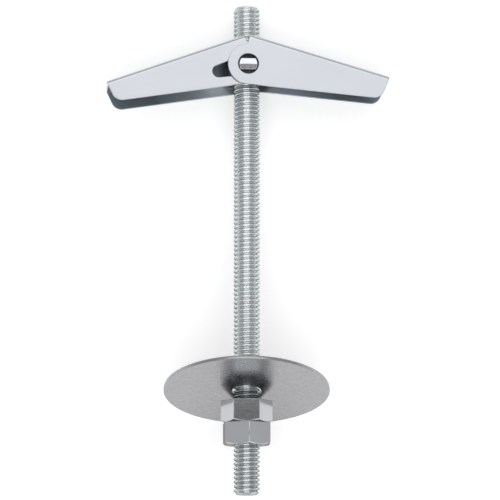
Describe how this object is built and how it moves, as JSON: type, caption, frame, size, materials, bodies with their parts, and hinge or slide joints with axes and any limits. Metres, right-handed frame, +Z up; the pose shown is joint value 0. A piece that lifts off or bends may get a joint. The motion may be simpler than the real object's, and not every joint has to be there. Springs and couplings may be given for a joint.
{
  "type": "spring toggle bolt",
  "caption": "Threaded rod with a pair of spring-opened channel wings on a trunnion nut, a wide washer and jam nuts, for fixing through a hollow wall.",
  "frame": {"origin": "middle of the lying bolt's outline, on the surface that it lies on", "axes": "+Y along the rod towards the wings as seen from above, +X towards the right wing, +Z up from the surface"},
  "size_m": [0.0642, 0.1096, 0.0337],
  "materials": {
    "rod_zinc": "bright zinc-plated rolled thread",
    "trunnion_zinc": "zinc-plated, cast",
    "spring_wire": "drawn spring wire",
    "wing_zinc": "bright zinc-plated folded sheet",
    "washer_zinc": "zinc-plated, satin",
    "nut_zinc": "zinc-plated, cold formed"
  },
  "bodies": {
    "rod": {"threaded_rod": "rod_zinc"},
    "toggle_head": {"trunnion_nut": "trunnion_zinc", "torsion_spring": "spring_wire"},
    "left_wing": {"left_wing": "wing_zinc"},
    "right_wing": {"right_wing": "wing_zinc"},
    "washer": {"washer": "washer_zinc"},
    "upper_nut": {"upper_nut": "nut_zinc"},
    "lower_nut": {"lower_nut": "nut_zinc"}
  },
  "joints": [
    {"name": "toggle_travel", "type": "slide", "parent": "rod", "child": "toggle_head", "axis": [0, 0.9904, -0.1384], "range_m": [-0.018, 0.009]},
    {"name": "left_wing_fold", "type": "hinge", "parent": "toggle_head", "child": "left_wing", "pos_m": [0, 0.0407, 0.00678], "axis": [0.0685, 0.138, 0.9881], "range_deg": [0, 72], "stiffness_Nm_per_rad": 0.012, "springref_deg": -45.84, "deforming": ["torsion_spring"]},
    {"name": "right_wing_fold", "type": "hinge", "parent": "toggle_head", "child": "right_wing", "pos_m": [0, 0.0407, 0.00678], "axis": [-0.0685, -0.138, -0.9881], "range_deg": [0, 75], "stiffness_Nm_per_rad": 0.012, "springref_deg": -45.84, "deforming": ["torsion_spring"]},
    {"name": "washer_slide", "type": "slide", "parent": "rod", "child": "washer", "axis": [0, 0.9904, -0.1384], "range_m": [0, 0.018]},
    {"name": "upper_nut_turn", "type": "hinge", "parent": "rod", "child": "upper_nut", "pos_m": [0, -0.03615, 0.01752], "axis": [0, 0.9904, -0.1384], "continuous": true},
    {"name": "lower_nut_turn", "type": "hinge", "parent": "rod", "child": "lower_nut", "pos_m": [0, -0.0411, 0.01821], "axis": [0, 0.9904, -0.1384], "continuous": true}
  ]
}
